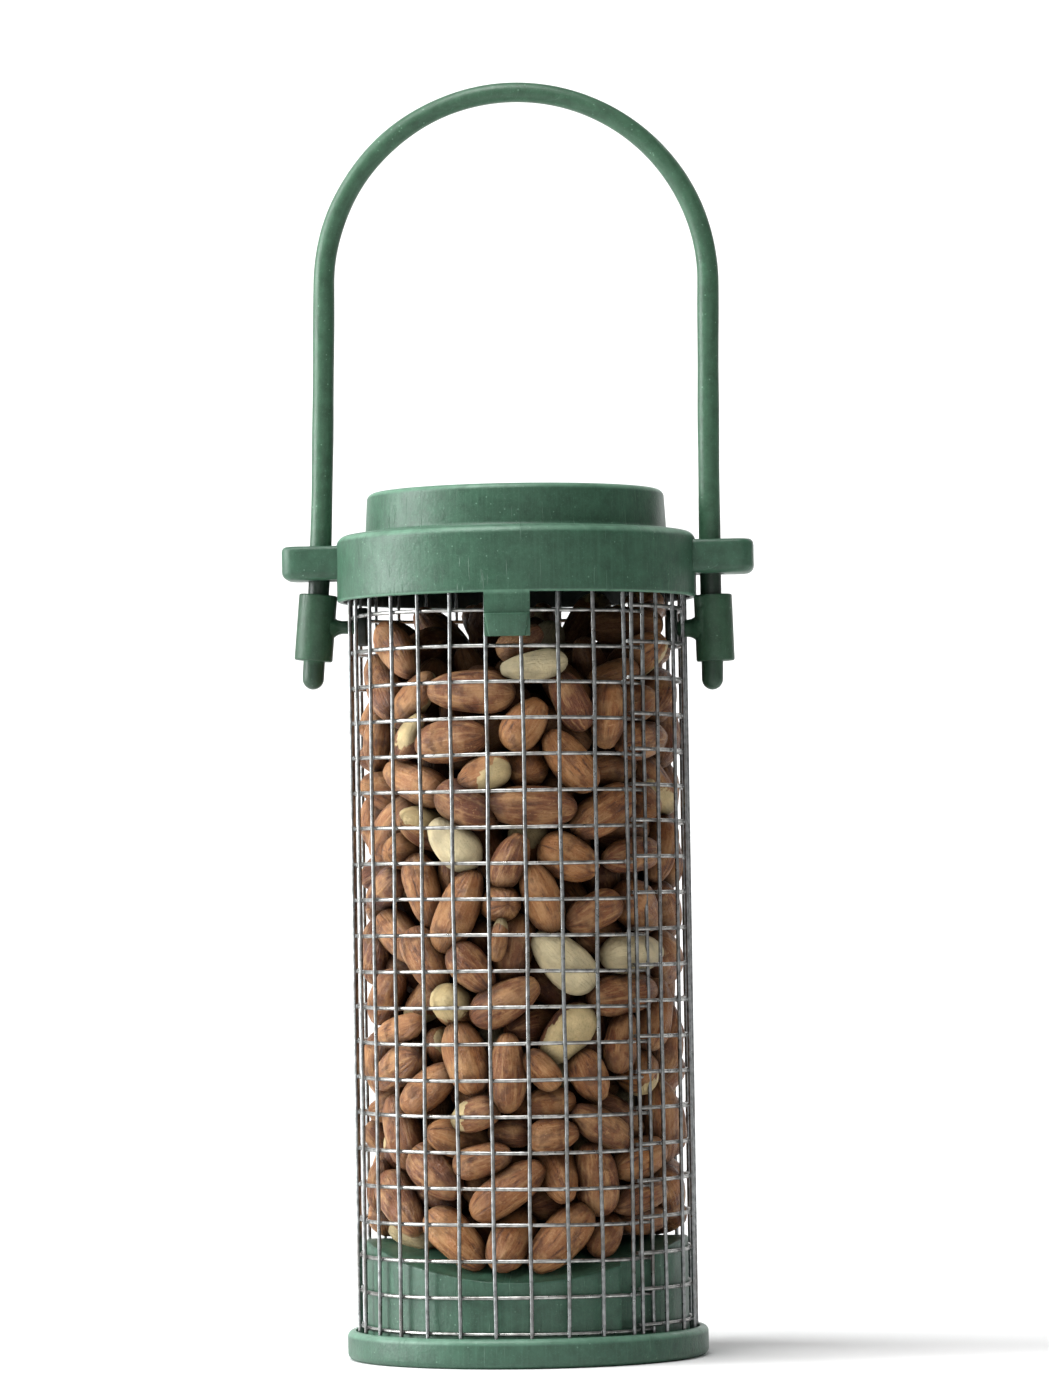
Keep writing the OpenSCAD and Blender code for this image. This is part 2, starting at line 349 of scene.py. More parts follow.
class Shader:
    """A small helper that builds a node tree round one Principled shader."""

    def __init__(self, name):
        self.material = bpy.data.materials.new(name)
        self.material.use_nodes = True
        self.tree = self.material.node_tree
        self.principled = self.tree.nodes["Principled BSDF"]

    def node(self, kind, **settings):
        made = self.tree.nodes.new(kind)
        for key, value in settings.items():
            setattr(made, key, value)
        return made

    def link(self, source, target):
        self.tree.links.new(source, target)

    def feed(self, socket, value):
        if isinstance(value, bpy.types.NodeSocket):
            self.link(value, socket)
        else:
            socket.default_value = value

    def set(self, name, value):
        self.feed(self.principled.inputs[name], value)

    def position(self):
        """The point on the piece, in metres, which stays with the piece as it moves."""
        return self.node("ShaderNodeTexCoord").outputs["Object"]

    def math(self, operation, a, b=0.0, c=0.0):
        made = self.node("ShaderNodeMath", operation=operation)
        for socket, value in zip(made.inputs, (a, b, c)):
            self.feed(socket, value)
        return made.outputs[0]

    def product(self, *factors):
        result = factors[0]
        for factor in factors[1:]:
            result = self.math("MULTIPLY", result, factor)
        return result

    def coordinates(self):
        """The position's X, Y and Z, each on its own."""
        parts = self.node("ShaderNodeSeparateXYZ")
        self.link(self.position(), parts.inputs[0])
        return parts.outputs

    def round_coordinates(self, stretch_around, stretch_up):
        """Angle round the axis and height, each times its stretch, for marks that run upright."""
        place = self.coordinates()
        angle = self.math("ARCTAN2", place["X"], place["Y"])
        made = self.node("ShaderNodeCombineXYZ")
        self.link(self.product(angle, stretch_around), made.inputs["X"])
        self.link(self.product(place["Z"], stretch_up), made.inputs["Y"])
        return made.outputs[0]

    def noise(self, scale, detail=3.0, vector=None, roughness=0.5):
        made = self.node("ShaderNodeTexNoise")
        self.link(vector or self.position(), made.inputs["Vector"])
        made.inputs["Scale"].default_value = scale
        made.inputs["Detail"].default_value = detail
        made.inputs["Roughness"].default_value = roughness
        return made.outputs["Fac"]

    def cells(self, scale, vector=None):
        """Distance to the nearest of scattered points."""
        made = self.node("ShaderNodeTexVoronoi")
        self.link(vector or self.position(), made.inputs["Vector"])
        made.inputs["Scale"].default_value = scale
        return made.outputs["Distance"]

    def band(self, value, low, high, to_low=0.0, to_high=1.0):
        """Maps value from low..high to to_low..to_high, held at the ends."""
        made = self.node("ShaderNodeMapRange")
        for socket, number in zip(made.inputs, (value, low, high, to_low, to_high)):
            self.feed(socket, number)
        return made.outputs[0]

    def mix(self, amount, a, b, blend="MIX"):
        made = self.node("ShaderNodeMix", data_type="RGBA", blend_type=blend)
        self.feed(made.inputs[0], amount)
        for index, value in ((6, a), (7, b)):
            if not isinstance(value, bpy.types.NodeSocket):
                value = (*value, 1.0)
            self.feed(made.inputs[index], value)
        return made.outputs[2]

    def layers(self, colour, layers):
        """Lays each (amount, colour) over what is below it."""
        for amount, over in layers:
            colour = self.mix(amount, colour, over)
        return colour

    def attribute(self, name):
        return self.node("ShaderNodeAttribute", attribute_name=name).outputs["Fac"]

    def height(self):
        return self.coordinates()["Z"]

    def height_band(self, low, high, to_low=0.0, to_high=1.0):
        """band() of the height, with its limits in millimetres."""
        return self.band(self.height(), low * MM, high * MM, to_low, to_high)

    def radius_band(self, low, high):
        """0 at the radius low from the tube's axis and 1 at high, both in millimetres."""
        place = self.coordinates()
        squares = [self.product(place[axis], place[axis]) for axis in ("X", "Y")]
        radius = self.math("SQRT", self.math("ADD", *squares))
        return self.band(radius, low * MM, high * MM)

    def bump(self, height, distance, strength=1.0):
        made = self.node("ShaderNodeBump")
        made.inputs["Distance"].default_value = distance
        made.inputs["Strength"].default_value = strength
        self.link(height, made.inputs["Height"])
        self.link(made.outputs[0], self.principled.inputs["Normal"])


def shade(tone, times, plus=0.0):
    """A tone made lighter or darker."""
    return [c * times + plus for c in tone]


def plastic(name, tone, shaded_inside=False, collar=False, highlit_edges=()):
    """Satin moulded plastic that has been outdoors: mottled, speckled and finely scratched.

    The first flag gives whatever lies within the lid's skirt painted shade. collar adds dirt and
    painted shade on the bail, where the lid rests on it and at its tips. The last argument lists
    the heights, in millimetres, between which an edge gets a pale painted highlight.
    """
    shader = Shader(name)
    mottle = shader.noise(420.0, 6.0, roughness=0.7)
    grain = shader.noise(2600.0, 2.0, roughness=0.7)
    striation = shader.noise(1.0, 3.0, shader.round_coordinates(70.0, 60.0))
    streaks = shader.noise(1.0, 2.0, shader.round_coordinates(110.0, 90.0))
    short = shader.noise(1.0, 1.0, shader.round_coordinates(30.0, 230.0))
    scratches = shader.product(shader.band(streaks, 0.64, 0.71), shader.band(short, 0.48, 0.6))
    specks = shader.band(shader.cells(820.0), 0.15, 0.09)
    some = shader.band(shader.noise(330.0, 1.0), 0.52, 0.57)
    highlight_strength = shader.band(shader.noise(500.0, 4.0), 0.25, 0.65, 0.3, 0.75)
    layers = [
        (shader.band(grain, 0.58, 0.76, 0.0, 0.5), shade(tone, 1.9, 0.02)),
        (shader.band(striation, 0.5, 0.75, 0.0, 0.4), shade(tone, 1.5, 0.01)),
        (shader.product(scratches, 0.6), shade(tone, 2.2, 0.05)),
        (shader.product(specks, some, 0.6), shade(tone, 2.4, 0.08)),
    ]
    # Painted highlight: a pale, patchy band along each listed edge.
    for low, high in highlit_edges:
        above = shader.height_band(low - 0.5, low)
        below = shader.height_band(high + 0.2, high)
        layers.append((shader.product(above, below, highlight_strength), shade(tone, 2.3, 0.05)))
    # Painted shade: near black within the lid's skirt, below the shoulder.
    if shaded_inside:
        inside = shader.math("SUBTRACT", 1.0, shader.radius_band(*LID_SHADE_R))
        under = shader.height_band(SHOULDER_Z, SHOULDER_Z - 0.6)
        layers.append((shader.product(inside, under), shade(tone, 0.12)))
    # Dirt and painted shade: the bail is darkened round the collar and towards its tips.
    if collar:
        offset = shader.math("SUBTRACT", shader.height(), COLLAR_Z * MM)
        away = shader.math("ABSOLUTE", offset)
        neck = shader.band(away, COLLAR_HALF * MM, COLLAR_END * MM, 0.86, 0.0)
        dirt_and_shade = shader.math("MAXIMUM", neck, shader.height_band(*TIP_DIRT_AND_SHADE_Z, 0.0, 0.55))
        layers.append((dirt_and_shade, shade(tone, 0.1)))
    mottled = shader.mix(shader.band(mottle, 0.32, 0.68), shade(tone, 0.74), shade(tone, 1.24))
    shader.set("Base Color", shader.layers(mottled, layers))
    shader.set("Roughness", shader.band(shader.noise(150.0, 4.0), 0.3, 0.7, 0.38, 0.52))
    shader.set("IOR", 1.45)
    relief = shader.math("ADD", shader.noise(1500.0, 3.0), shader.product(scratches, 1.6))
    shader.bump(relief, 0.00008, 0.8)
    return shader.material


def galvanised(name, tone):
    """Zinc with a soft spangle and darker stains."""
    shader = Shader(name)
    spangle = shader.band(shader.noise(900.0, 3.0), 0.35, 0.65)
    stains = shader.band(shader.noise(160.0, 5.0), 0.5, 0.72, 0.0, 0.6)
    layers = [(spangle, tone), (stains, (0.13, 0.11, 0.095))]
    shader.set("Base Color", shader.layers(shade(tone, 0.54), layers))
    shader.set("Metallic", 1.0)
    shader.set("Roughness", shader.band(shader.noise(1100.0, 2.0), 0.3, 0.7, 0.26, 0.42))
    shader.bump(shader.noise(2400.0, 2.0), 0.00005, 0.4)
    return shader.material


def nut_material(name, dark, mid, pale, cream):
    """Papery skin with fine veins along the kernel. Where 'bare' is high, the kernel shows.

    The skin gets painted shade where 'gap' says that another kernel is close, and deep in the tube.
    """
    shader = Shader(name)
    grain = shader.node("ShaderNodeCombineXYZ")
    for axis, field, stretch in (("X", "along", 2.4), ("Y", "across", 11.0), ("Z", "tone", 60.0)):
        shader.link(shader.product(shader.attribute(field), stretch), grain.inputs[axis])
    veins = shader.noise(1.0, 6.0, grain.outputs[0], 0.7)
    blotches = shader.noise(260.0, 4.0)
    stains = shader.noise(340.0, 3.0)
    flakes = shader.noise(1100.0, 4.0, roughness=0.7)
    ragged = shader.band(shader.noise(600.0, 4.0), 0.3, 0.7, -0.25, 0.25)
    bare = shader.math("ADD", shader.attribute("bare"), ragged)
    flesh = shader.mix(shader.band(shader.noise(420.0, 4.0), 0.4, 0.7), cream, shade(cream, 0.72))
    layers = [
        (shader.band(shader.attribute("tone"), 0.05, 0.95), mid),
        (shader.band(veins, 0.50, 0.64, 0.0, 0.7), pale),
        (shader.band(veins, 0.45, 0.36, 0.0, 0.85), shade(dark, 0.4)),
        (shader.band(blotches, 0.48, 0.66, 0.0, 0.6), pale),
        (shader.band(stains, 0.47, 0.36, 0.0, 0.6), shade(dark, 0.6)),
        (shader.band(flakes, 0.6, 0.7, 0.0, 0.55), shade(pale, 1.15)),
        (shader.band(bare, 0.47, 0.55), flesh),
    ]
    colour = shader.layers(dark, layers)
    # Painted shade: darker where kernels touch and deeper inside the tube.
    gap = shader.math("POWER", shader.attribute("gap"), 0.75)
    depth = shader.band(shader.radius_band(*KERNEL_SHADE_R), 0.0, 1.0, 0.22, 1.0)
    lit = shader.product(depth, gap)
    shader.set("Base Color", shader.mix(lit, shade(dark, 0.06), colour))
    shader.set("Roughness", shader.band(shader.noise(500.0, 3.0), 0.3, 0.7, 0.36, 0.58))
    shader.set("Specular IOR Level", shader.band(lit, 0.0, 0.7, 0.0, 0.5))
    wrinkles = shader.math("ADD", shader.product(veins, 2.4), shader.noise(1700.0, 3.0))
    shader.bump(wrinkles, 0.00028, 1.0)
    return shader.material


# Radii and heights, in millimetres, where painted shade comes in, on the bail with dirt as well.
# The collar of dirt and painted shade, where the lid rests on the bail: its middle, half height, faded
# end.
LID_SHADE_R = (31.4, 31.7)
KERNEL_SHADE_R = (20.5, 26.8)
TIP_DIRT_AND_SHADE_Z = (125.6, 124.8)
COLLAR_Z = 138.2
COLLAR_HALF = 2.2
COLLAR_END = 3.8
# Lid edges with a painted highlight: the skirt's foot, the shoulder and the crown's top.
LID_HIGHLIT_EDGES = [
    (SKIRT_LOW_Z, SKIRT_LOW_Z + 0.25),
    (SHOULDER_Z - 0.9, SHOULDER_Z + 0.1),
    (CROWN_TOP_Z - 0.5, CROWN_TOP_Z),
]
LID_GREEN = plastic("lid_green", (0.033, 0.090, 0.054), shaded_inside=True, highlit_edges=LID_HIGHLIT_EDGES)
# The foot's top edge gets a painted highlight.
BASE_GREEN = plastic("base_green", (0.037, 0.094, 0.060), highlit_edges=[(FOOT_H - 0.7, FOOT_H)])
BAIL_GREEN = plastic("bail_green", (0.039, 0.100, 0.057), collar=True)
LUG_GREEN = plastic("lug_green", (0.022, 0.063, 0.033))
# Painted shade: the discs are coloured near black because they sit in shadow inside the mesh.
SHADED_DISC_GREEN = plastic("shaded_disc_green", (0.010, 0.016, 0.012))
HOOP_ZINC = galvanised("hoop_zinc", (0.52, 0.52, 0.50))
# Painted shade: the same zinc as the hoops, made darker because the upright wires and weld nuggets
# catch less light.
SHADED_LINE_ZINC = galvanised("shaded_line_zinc", (0.33, 0.34, 0.34))
CORE_STEEL = galvanised("core_steel", (0.50, 0.50, 0.49))
SKIN = nut_material(
    "peanut_skin", (0.16, 0.046, 0.015), (0.37, 0.148, 0.047), (0.54, 0.29, 0.12), (0.68, 0.52, 0.26)
)
KERNEL = nut_material(
    "peanut_kernel", (0.48, 0.34, 0.15), (0.55, 0.42, 0.21), (0.70, 0.57, 0.34), (0.72, 0.60, 0.36)
)

# ---------------- base


def in_seam(angle):
    """1 behind the mesh's seam and 0 elsewhere, with a short slope between."""
    margin, slope = 3.3, 1.2
    start = line_angle(LINE_COUNT - 2) - margin
    width = LINE_STEP + 2 * margin
    turned = (angle - start) % 360
    inside = min(turned, width - turned)
    return min(max(inside / slope, 0.0), 1.0)


def build_base():
    """Foot, wire groove and ridged plug as one closed surface."""
    edge, chamfer, lip = 0.45, 0.3, 0.12
    low_round, top_round = 1.2, 1.1
    inner_top = RIDGE_Z - BASE_WALL
    shares = (0.15, 0.3, 0.45, 0.6)

    def plug_r(angle):
        return PLUG_R - (PLUG_R - SEAM_FLOOR_R) * in_seam(angle)

    def inner_r(angle):
        return plug_r(angle) - BASE_WALL

    def rim_r(angle):
        return plug_r(angle) - edge

    def vault(share, edge_r, *surface):
        """A ring on a vaulted surface, at a share of the way out to edge_r."""

        def ring(angle):
            r = edge_r(angle) * share
            return r, vault_z(around(angle, r, 0).y, *surface)

        return ring

    def wall(share):
        """A ring on the plug's outer wall, between the groove and the rounded rim."""

        def ring(angle):
            high = vault_z(around(angle, rim_r(angle), 0).y) - edge
            return plug_r(angle), GROOVE_Z + (high - GROOVE_Z) * share

        return ring

    def rim(a):
        """A ring on the rounded edge of the plug's top, a degrees up from its wall."""

        def ring(angle):
            r = rim_r(angle)
            z = vault_z(around(angle, r, 0).y) - edge
            return r + edge * math.cos(math.radians(a)), z + edge * math.sin(math.radians(a))

        return ring

    def beside(inner, z):
        """A ring under the base, on the plug's inner wall."""
        return lambda angle: (inner_r(angle) + inner, z)

    rings = [inner_top]
    for share in shares + (0.75, 0.87, 0.95, 1.0):
        rings.append(vault(share, inner_r, VAULT_R - BASE_WALL, inner_top))
    rings += [beside(0, 4.0), beside(0, chamfer), beside(chamfer, 0.0)]
    foot_inner_r = FOOT_R - BASE_WALL
    flat = [(PLUG_R - chamfer, 0.0), (PLUG_R, chamfer), (PLUG_R, BASE_WALL)]
    flat += [(foot_inner_r, BASE_WALL), (foot_inner_r, chamfer), (foot_inner_r + chamfer, 0.0)]
    flat += arc((FOOT_R - low_round, low_round), low_round, -90, 0, 7)
    flat += [(FOOT_R, 2.2), (FOOT_R, 3.2)]
    flat += arc((FOOT_R - top_round, FOOT_H - top_round), top_round, 0, 82, 7)
    flat += [(GROOVE_R + lip, FOOT_H), (GROOVE_R, FOOT_H - lip), (GROOVE_R, GROOVE_Z)]
    rings += [fixed_ring(p) for p in flat]
    rings += [wall(s) for s in (0.0, 0.02, 0.25, 0.5, 0.75, 0.98, 1.0)]
    rings += [rim(a) for a in (18, 36, 54, 72, 90)]
    rings += [vault(share, rim_r) for share in (0.97, 0.92, 0.84, 0.73) + shares[::-1]]
    rings.append(RIDGE_Z)
    vertices, faces = polar_shell(rings, even_angles(300))
    new_piece(
        "base_moulding", vertices, faces, "tube", "base", "green_plastic", BASE_GREEN, SMOOTH_BASE
    )


# ---------------- lid


def tab_angles():
    """Angles round the lid, evenly spaced but with close pairs at the sides of the tab."""
    half = math.degrees(math.asin(TAB_WIDTH / 2 / SKIRT_R))
    sides = [half - 0.35, half, half + 0.02]
    near = [s * a for s in (-1, 1) for a in sides]
    angles = [a for a in (i * 1.5 - 180 for i in range(240)) if all(abs(a - n) > 0.4 for n in near)]
    return sorted(angles + near), half


def lid_rings(half):
    """Rings from the top centre, down the outside and back up the inside."""
    fillet, corner, step_in = 0.9, 0.6, 0.08
    top_r = CROWN_R - (CROWN_TOP_Z - SHOULDER_Z) * math.tan(math.radians(CROWN_DRAFT)) - CROWN_ROUND
    outer = [(r, CROWN_TOP_Z) for r in (5, 10, 15, 19, 22.5)]
    outer += arc((top_r, CROWN_TOP_Z - CROWN_ROUND), CROWN_ROUND, 90, CROWN_DRAFT, 8)
    foot_r, foot_z = CROWN_R - step_in, SHOULDER_Z + fillet
    outer += line(outer[-1], (foot_r, foot_z), 3)
    outer += arc((foot_r + fillet, foot_z), fillet, 180, 270, 5)[1:]
    outer += line(outer[-1], (SKIRT_R - SHOULDER_ROUND - 0.1, SHOULDER_Z), 2)
    round_z = SHOULDER_Z - SHOULDER_ROUND
    outer += arc((SKIRT_R - SHOULDER_ROUND, round_z), SHOULDER_ROUND, 90, 0, 10)
    outer += line((SKIRT_R, round_z), (SKIRT_R, SKIRT_LOW_Z + 0.8), 8)
    inner_r = SKIRT_R - LID_WALL
    crown_inner_r = top_r + CROWN_ROUND - LID_WALL
    ceiling = CROWN_TOP_Z - LID_WALL
    under = [(inner_r, SKIRT_LOW_Z + 1.2), (inner_r, 141), (inner_r, SHOULDER_Z - LID_WALL)]
    under += [(crown_inner_r, SHOULDER_Z - LID_WALL), (crown_inner_r, ceiling - corner)]
    under += [(r, ceiling) for r in (crown_inner_r - corner, 20, 14, 8, 4)]

    def rim(inset, lift):
        """A ring on the lower edge, which drops to the tab's foot in front."""

        def ring(angle):
            low = TAB_LOW_Z if abs(angle) <= half else SKIRT_LOW_Z
            return inset, low + lift

        return ring

    rings = [CROWN_TOP_Z] + [fixed_ring(p) for p in outer]
    rings += [rim(SKIRT_R, 0.45), rim(SKIRT_R - 0.1, 0.14), rim(SKIRT_R - 0.35, 0.0)]
    rings += [rim(inner_r + 0.25, 0.0), rim(inner_r + 0.05, 0.1), rim(inner_r, 0.4)]
    rings += [fixed_ring(p) for p in under]
    rings.append(ceiling)
    return rings


def ear_outline(inset, side):
    """The ear seen from above, with rounded outer corners, moved in by inset."""
    corner = 2.6 - inset * 0.6
    root = SKIRT_R - 0.9
    reach = EAR_REACH[side] - inset
    half = EAR_WIDTH / 2 - inset
    points = [(root, -half)]
    for sign, start in ((-1, -90), (1, 0)):
        points += arc((reach - corner, sign * (half - corner)), corner, start, start + 90, 6)
    points.append((root, half))
    return [(SIGN[side] * x, y) for x, y in points]


def ear_solid(side):
    """A rounded slab: more rounding underneath than on top."""
    steps = 5
    layers = []
    for radius, z, up in ((1.5, EAR_LOW_Z, 1), (0.9, EAR_HIGH_Z, -1)):
        for step in range(steps + 1)[::up]:
            a = math.radians(90 * step / steps)
            layers.append((radius * (1 - math.sin(a)), z + up * radius * (1 - math.cos(a))))
    vertices = [(x, y, z) for inset, z in layers for x, y in ear_outline(inset, side)]
    return loose_object(vertices, stack_faces(len(layers), len(vertices) // len(layers)))


def slot_cutter(side):
    """The upright slot in an ear, long enough for the leg's lean over the lid's travel."""
    sides = 48
    ends = [leg_point(side, z).x for z in (EAR_LOW_Z, EAR_HIGH_Z + LID_TRAVEL)]
    outline = []
    for step in range(sides):
        a = 2 * math.pi * (step + 0.5) / sides
        middle = max(ends) if math.cos(a) > 0 else min(ends)
        outline.append((middle + SLOT_R * math.cos(a), SLOT_R * math.sin(a)))
    vertices = [(x, y, z) for z in (SKIRT_LOW_Z - 1, SHOULDER_Z + 1) for x, y in outline]
    return loose_object(vertices, stack_faces(2, sides))


def lip_solid():
    """The wedge under the thumb: narrower and thinner towards its foot."""
    section = [
        (SKIRT_R - 0.6, TAB_LOW_Z + 0.02),
        (SKIRT_R + 0.45, TAB_LOW_Z + 0.02),
        (SKIRT_R + 0.7, TAB_LOW_Z + 0.25),
        (SKIRT_R + 1.32, LIP_TOP_Z - 0.45),
        (SKIRT_R + 1.28, LIP_TOP_Z - 0.12),
        (SKIRT_R + 1.05, LIP_TOP_Z),
        (SKIRT_R - 0.6, LIP_TOP_Z),
    ]
    # Shares of the half width, and how far the lip's face draws back there
    stations = [(-1.0, 0.55), (-0.93, 0.12), (-0.8, 0), (-0.4, 0), (0, 0)]
    stations += [(-share, pull) for share, pull in reversed(stations[:-1])]
    vertices = []
    for s, pull in stations:
        for r, z in section:
            height_share = (z - TAB_LOW_Z) / (LIP_TOP_Z - TAB_LOW_Z)
            x = s * (TAB_WIDTH / 2 - 0.04 - 0.75 * (1 - height_share))
            out = r - (pull if r > SKIRT_R else 0.0)
            vertices.append((x, -math.sqrt(out * out - x * x), z))
    return loose_object(vertices, stack_faces(len(stations), len(section)))


def build_lid():
    angles, half = tab_angles()
    shell = loose_object(*polar_shell(lid_rings(half), angles))
    tools = [("UNION", ear_solid(side)) for side in SIGN]
    tools.append(("UNION", lip_solid()))
    tools += [("DIFFERENCE", slot_cutter(side)) for side in SIGN]
    mesh = combine(shell, tools)
    finish_piece("lid_moulding", mesh, "lid", "lid", "green_plastic", LID_GREEN, SMOOTH_LID)


# ---------------- bail and lugs


def hang(outward, z, side):
    """A point of the bail, given in its own frame, where it hangs on the tube."""
    turn = math.radians(HANG_TURN)
    x, up = SIGN[side] * outward, z - PIVOT_Z
    return Vector(
        (
            HANG_SHIFT + x * math.cos(turn) + up * math.sin(turn),
            0,
            PIVOT_Z + up * math.cos(turn) - x * math.sin(turn),
        )
    )


def leg_point(side, z):
    """The centre of a leg at a height."""
    line_of = LEG_LINE[side] + LEG_UPPER + [(SPRING_Z, ARCH_R)]
    outward = np.interp(z, [p[0] for p in line_of], [p[1] for p in line_of])
    return hang(outward, z, side)


def soft_leg_point(side, z):
    """leg_point without its corners."""
    near = [leg_point(side, z + step) for step in (-3, -1.5, 0, 1.5, 3)]
    middle = sum(near, Vector()) / len(near)
    return Vector((middle.x, 0, leg_point(side, z).z))


def leg_rows(side):
    """Centre and radius from a leg's rounded tip up to the arch."""
    rows = []
    for step in range(8):
        a = math.radians(86 * (7 - step) / 7)
        z = TIP_Z + LEG_R * (1 - math.sin(a))
        rows.append((soft_leg_point(side, z), LEG_R * math.cos(a)))
    rows += [(soft_leg_point(side, z), LEG_R) for z in np.linspace(TIP_Z + 3, SPRING_Z - 1, 56)]
    return rows


def bail_path():
    """Centre line and radius from the left tip, over the arch, to the right tip."""
    steps = 96
    path = leg_rows("left")
    for step in range(steps + 1):
        a = math.pi - math.pi * step / steps
        point = hang(ARCH_R * math.cos(a), SPRING_Z + ARCH_R * math.sin(a), "right")
        path.append((point, LEG_R - (LEG_R - ARCH_ROD_R) * math.sin(a)))
    return path + list(reversed(leg_rows("right")))


def build_bail():
    """The coated rod, slightly uneven in thickness, and the wire in it."""
    path = bail_path()
    radii = []
    for point, radius in path:
        wave = 0.985 + 0.015 * math.sin(point.z * 0.31 + point.x * 0.17)
        radii.append(radius * wave)
    coating = tube_along([p for p, _ in path], radii, ROD_SIDES)
    new_piece(
        "bail_rod", *coating, "bail", "bail_sleeve", "bail_coating", BAIL_GREEN, SMOOTH_WIRE
    )
    inner = [p for p, r in path if r >= ARCH_ROD_R][1:-1]
    core = tube_along(inner, [CORE_R] * len(inner), CORE_SIDES)
    new_piece("bail_wire", *core, "bail", "bail_core", "core_steel", CORE_STEEL, SMOOTH_WIRE)


def pivot_z(side):
    """Height of a pivot, which the bail's turn moves a little."""
    return hang(LUG_LINE[side][0], PIVOT_Z, side).z


def build_lug(side):
    """A tube that grips the leg, with a filleted pivot that goes in through the mesh."""
    edge = 0.35
    bore = LEG_R + 0.03
    low = hang(LUG_LINE[side][0], LUG_LOW_Z, side)
    high = hang(LUG_LINE[side][1], LUG_LOW_Z + LUG_H, side)
    length = (high - low).length
    profile = [(bore, edge)]
    profile += arc((LUG_R - edge, edge), edge, -90, 0, 4)
    profile += [(LUG_R, y) for y in (2.5, 5, 7.5, 10)]
    profile += arc((LUG_R - edge, length - edge), edge, 0, 90, 4)
    profile += [(bore + 0.25, length), (bore, length - 0.25), (bore, 8.0), (bore, 4.0)]
    place = Matrix.Translation(low) @ (high - low).to_track_quat("Z", "Y").to_matrix().to_4x4()
    tube = turned_object(profile, LUG_SIDES, lambda point: place @ point)
    wall_x = abs(hang(sum(LUG_LINE[side]) / 2, PIVOT_Z, side).x) - LUG_R
    boss = PIN_BOSS_R[side]
    # Distance from the tube's axis and radius along the pivot, from inside the lug inwards
    gusset = [(wall_x + 2.4, boss + 1.5), (wall_x + 0.5, boss + 0.9), (wall_x - 0.1, boss + 0.45)]
    gusset += [(wall_x - 0.6, boss + 0.15), (wall_x - 1.3, boss), (DISC_HIGH.x + 0.6, boss)]
    gusset += [(DISC_HIGH.x, PIVOT_R), (DISC_LOW.x + 0.5, PIVOT_R), (DISC_LOW.x, PIVOT_R - 0.25)]
    points = [(SIGN[side] * x, 0, pivot_z(side)) for x, _ in gusset]
    pivot = loose_object(*tube_along(points, [r for _, r in gusset], 48))
    along = (high - low).normalized()
    ends = [low - along * 2, high + along * 2]
    hole = loose_object(*tube_along(ends, [bore, bore], LUG_SIDES))
    mesh = combine(tube, [("UNION", pivot), ("DIFFERENCE", hole)])
    name = f"lug_{side}"
    finish_piece(f"{name}_moulding", mesh, "bail", name, "green_plastic", LUG_GREEN, SMOOTH_LUG)


def build_retainer(side):
    """A dished disc with rounded edges, pressed on the pivot's end."""
    thick = DISC_HIGH.x - DISC_LOW.x
    edge = 0.45
    profile = [(PIVOT_R + 0.01, thick)]
    profile += arc((DISC_R - edge, thick - edge), edge, 90, 0, 4)
    profile += arc((DISC_R - edge, edge), edge, 0, -90, 4)
    profile += [(DISC_R - 1.4, 0.0), (DISC_R - 1.9, 0.3), (PIVOT_R + 0.8, 0.35), (PIVOT_R + 0.01, 0.2)]

    def place(point):
        return SIGN[side] * (DISC_LOW.x + point.z), point.y, pivot_z(side) + point.x

    mesh = combine(turned_object(profile, 64, place), [])
    name = f"retainer_{side}"
    finish_piece(f"{name}_disc", mesh, "bail", name, "green_plastic", SHADED_DISC_GREEN, SMOOTH_LUG)


# ---------------- wire mesh


def line_angle(k):
    return SEAM_ANGLE + k * LINE_STEP


def tuck_at(angle):
    """How far the sheet lies inside its usual radius, towards its tucked end."""
    start = line_angle(LINE_COUNT - 2) + 0.6
    share = min(max((angle - start) / 6.0, 0.0), 1.0)
    return SEAM_TUCK * share * share * (3 - 2 * share)


def hoop_z(k, angle):
    """Height of hoop k. The sheet climbs round the tube, so its two edges don't meet level."""
    turned = (angle - SEAM_ANGLE) / (LINE_STEP * (LINE_COUNT - 1))
    front = (360 - SEAM_ANGLE) / (LINE_STEP * (LINE_COUNT - 1))
    ripple = 0.10 * math.sin(math.radians(angle * 3 + k * 47)) * (0 < k < HOOP_COUNT - 1)
    return HOOP_FIRST_Z + k * HOOP_PITCH + SEAM_LIFT * (front - turned) * 0.9 + ripple


def wire_along(points):
    return tube_along(points, [WIRE_R] * len(points), WIRE_SIDES)


def build_wires(name, parts, node, zinc):
    vertices, faces = gather(parts)
    new_piece(name, vertices, faces, "tube", node, "galvanised_wire", zinc, SMOOTH_WIRE)


def build_hoops():
    parts = []
    first = line_angle(0) - 0.9
    last = line_angle(LINE_COUNT - 1) + 1.0
    for k in range(HOOP_COUNT):
        points = []
        for angle in np.linspace(first, last, HOOP_POINTS):
            between = abs(math.sin(math.pi * (angle - SEAM_ANGLE) / LINE_STEP))
            radius = HOOP_R - tuck_at(angle) + 0.05 * (between - 0.5)
            points.append(around(angle, radius, hoop_z(k, angle)))
        parts.append(wire_along(points))
    build_wires("hoop_wires", parts, "mesh_hoop_wires", HOOP_ZINC)


def line_offset(k, z):
    """The small wander of an upright wire, in degrees."""
    return 0.22 * math.sin(z * 0.045 + k * 2.1) + 0.1 * math.sin(z * 0.19 + k * 5.3)


